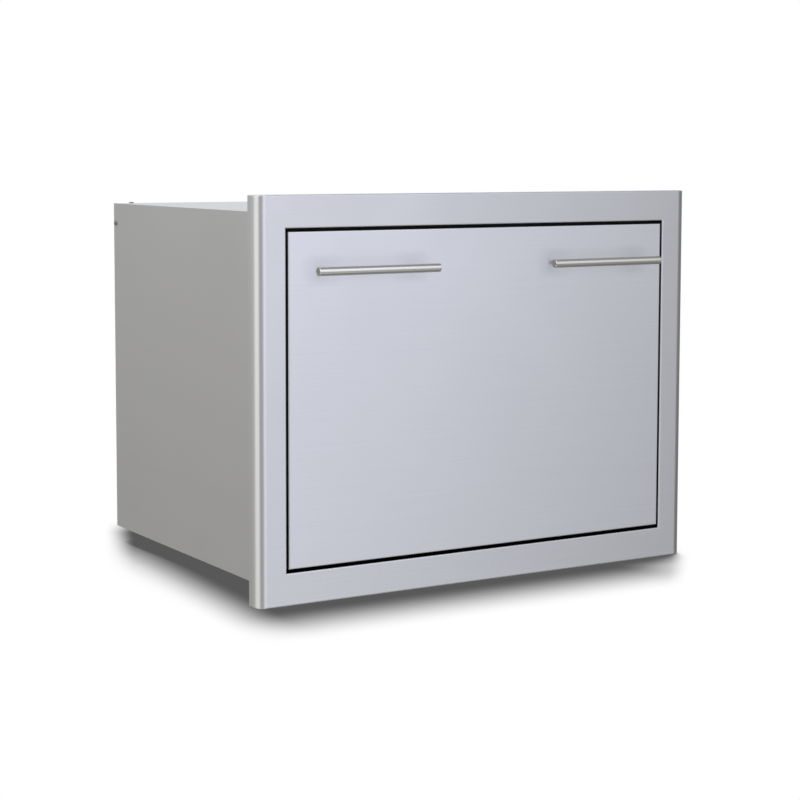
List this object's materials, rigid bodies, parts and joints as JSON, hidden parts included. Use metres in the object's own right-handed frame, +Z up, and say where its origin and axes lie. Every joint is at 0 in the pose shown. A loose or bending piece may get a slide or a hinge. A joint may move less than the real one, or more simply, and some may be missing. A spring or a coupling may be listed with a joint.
{
  "type": "built-in twin-bin waste drawer",
  "caption": "Stainless built-in cabinet with a flush roll-out drawer front, bar handles, telescopic ball slides and lift-out waste bins inside.",
  "frame": {"origin": "under the middle of the overall box, handles included, level with the foot of the face frame", "axes": "+X to the right seen from the front, +Y from the face to the back, +Z up"},
  "size_m": [0.762, 0.6004, 0.583],
  "materials": {
    "front_stainless": "fine brushed stainless sheet",
    "handle_stainless": "satin drawn stainless bar",
    "box_stainless": "mill-finish stainless sheet",
    "zinc_plated_steel": "bright zinc-plated rolled steel",
    "ball_steel": "polished bearing steel",
    "fixing_steel": "turned steel",
    "black_rubber": "moulded rubber",
    "bin_plastic": "injection-moulded polypropylene"
  },
  "bodies": {
    "cabinet": {"face_frame": "front_stainless", "cabinet_left_side": "box_stainless", "cabinet_right_side": "box_stainless", "cabinet_top": "box_stainless", "cabinet_floor": "box_stainless", "cabinet_back": "box_stainless", "back_panel_screws": "fixing_steel", "slide_left_bracket": "zinc_plated_steel", "slide_right_bracket": "zinc_plated_steel", "slide_left_outer": "zinc_plated_steel", "slide_right_outer": "zinc_plated_steel", "slide_outer_screws": "fixing_steel", "slide_buffers": "black_rubber", "stop_bumpers": "black_rubber"},
    "drawer": {"drawer_front_skin": "front_stainless", "drawer_front_liner": "box_stainless", "handle_left_bar": "handle_stainless", "handle_right_bar": "handle_stainless", "handle_left_posts": "handle_stainless", "handle_right_posts": "handle_stainless", "handle_screws": "fixing_steel", "drawer_left_side": "box_stainless", "drawer_right_side": "box_stainless", "drawer_back": "box_stainless", "drawer_floor": "box_stainless", "drawer_front_screws": "fixing_steel", "drawer_back_rivets": "fixing_steel", "bin_divider": "box_stainless", "slide_left_inner": "zinc_plated_steel", "slide_right_inner": "zinc_plated_steel", "slide_inner_screws": "fixing_steel"},
    "slide_middles": {"slide_left_middle": "zinc_plated_steel", "slide_right_middle": "zinc_plated_steel"},
    "outer_cages": {"slide_left_outer_cage": "zinc_plated_steel", "slide_right_outer_cage": "zinc_plated_steel", "slide_left_outer_balls": "ball_steel", "slide_right_outer_balls": "ball_steel"},
    "inner_cages": {"slide_left_inner_cage": "zinc_plated_steel", "slide_right_inner_cage": "zinc_plated_steel", "slide_left_inner_balls": "ball_steel", "slide_right_inner_balls": "ball_steel"},
    "left_bin": {"bin_left": "bin_plastic"},
    "right_bin": {"bin_right": "bin_plastic"}
  },
  "joints": [
    {"name": "drawer_pull", "type": "slide", "parent": "cabinet", "child": "drawer", "axis": [0, -1, 0], "range_m": [0, 0.48]},
    {"name": "middle_travel", "type": "slide", "parent": "cabinet", "child": "slide_middles", "axis": [0, -1, 0], "range_m": [0, 0.24]},
    {"name": "outer_cage_travel", "type": "slide", "parent": "cabinet", "child": "outer_cages", "axis": [0, -1, 0], "range_m": [0, 0.12]},
    {"name": "inner_cage_travel", "type": "slide", "parent": "cabinet", "child": "inner_cages", "axis": [0, -1, 0], "range_m": [0, 0.36]},
    {"name": "left_bin_lift", "type": "slide", "parent": "drawer", "child": "left_bin", "axis": [0, 0, 1], "range_m": [0, 0.05]},
    {"name": "right_bin_lift", "type": "slide", "parent": "drawer", "child": "right_bin", "axis": [0, 0, 1], "range_m": [0, 0.05]}
  ],
  "couplings": [
    {"joint": "middle_travel", "follows": "drawer_pull", "ratio": 0.5},
    {"joint": "outer_cage_travel", "follows": "drawer_pull", "ratio": 0.25},
    {"joint": "inner_cage_travel", "follows": "drawer_pull", "ratio": 0.75}
  ]
}
